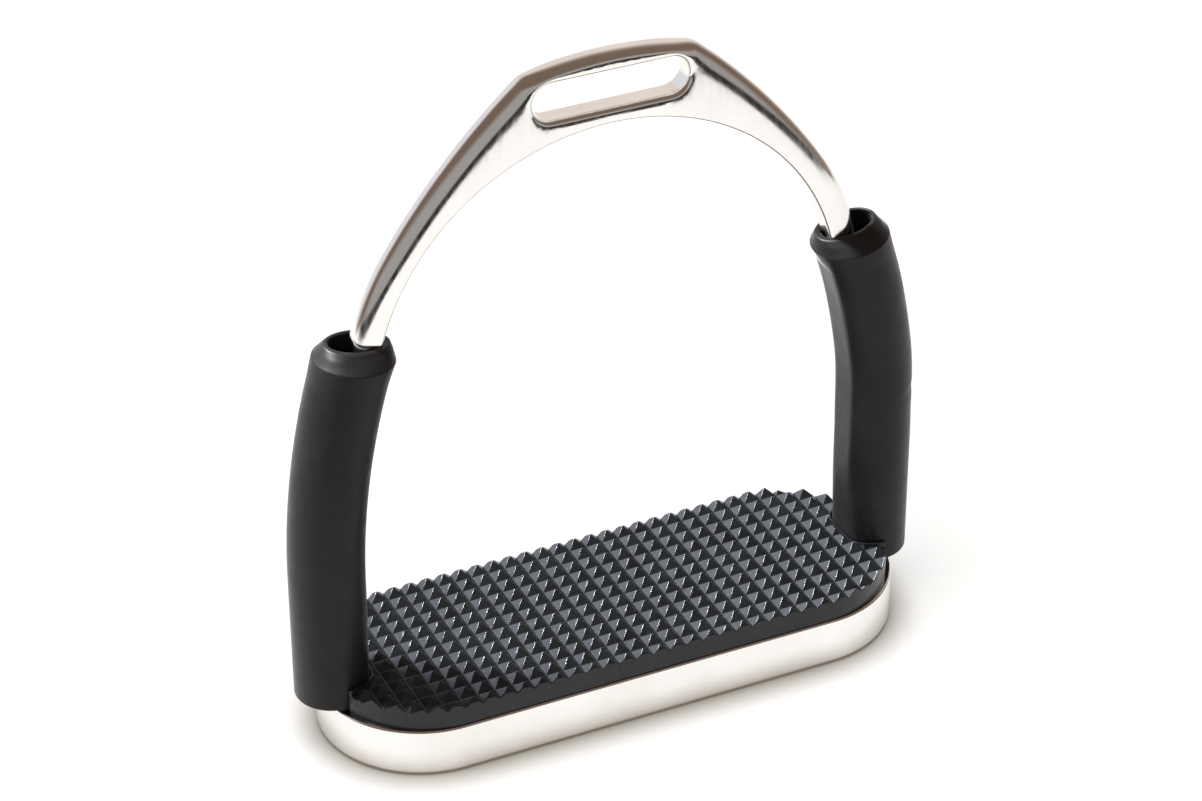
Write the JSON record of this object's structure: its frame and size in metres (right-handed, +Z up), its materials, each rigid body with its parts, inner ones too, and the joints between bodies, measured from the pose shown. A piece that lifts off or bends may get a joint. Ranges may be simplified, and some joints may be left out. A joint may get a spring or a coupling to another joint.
{
  "type": "stirrup iron",
  "caption": "Jointed stirrup iron: polished arch with a leather slot, two flexing branches in rubber sleeves and a studded rubber tread in an oval base.",
  "frame": {"origin": "middle of the base's underside, on the ground", "axes": "+X along the tread to the right branch, +Y to the back, +Z up to the leather slot; the object is the same front and back"},
  "size_m": [0.1604, 0.0516, 0.1652],
  "materials": {
    "polished_steel": "mirror-polished stainless steel",
    "link_steel": "plain unpolished steel",
    "rivet_steel": "bright steel",
    "washer_steel": "bright steel",
    "tread_rubber": "moulded rubber, slightly shiny",
    "sleeve_rubber": "matt moulded rubber"
  },
  "bodies": {
    "base": {"base_frame": "polished_steel", "left_post": "link_steel", "right_post": "link_steel", "tread_pad": "tread_rubber", "left_sleeve": "sleeve_rubber", "right_sleeve": "sleeve_rubber"},
    "left_link": {"left_inner_link": "link_steel", "left_outer_link": "link_steel", "left_lower_rivet": "rivet_steel", "left_upper_rivet": "rivet_steel", "left_lower_washers": "washer_steel", "left_upper_washers": "washer_steel"},
    "right_link": {"right_inner_link": "link_steel", "right_outer_link": "link_steel", "right_lower_rivet": "rivet_steel", "right_upper_rivet": "rivet_steel", "right_lower_washers": "washer_steel", "right_upper_washers": "washer_steel"},
    "arch": {"arch": "polished_steel"}
  },
  "joints": [
    {"name": "left_lower_pivot", "type": "hinge", "parent": "base", "child": "left_link", "pos_m": [-0.0706, 0, 0.032], "axis": [1, 0, 0], "range_deg": [-12, 12], "stiffness_Nm_per_rad": 3, "deforming": ["left_sleeve"]},
    {"name": "right_lower_pivot", "type": "hinge", "parent": "base", "child": "right_link", "pos_m": [0.0706, 0, 0.032], "axis": [1, 0, 0], "range_deg": [-12, 12], "stiffness_Nm_per_rad": 3, "deforming": ["right_sleeve"]},
    {"name": "upper_pivot", "type": "hinge", "parent": "left_link", "child": "arch", "pos_m": [-0.0706, 0, 0.065], "axis": [1, 0, 0], "range_deg": [-12, 12], "stiffness_Nm_per_rad": 3}
  ],
  "couplings": [
    {"joint": "right_lower_pivot", "follows": "left_lower_pivot", "ratio": 1}
  ]
}
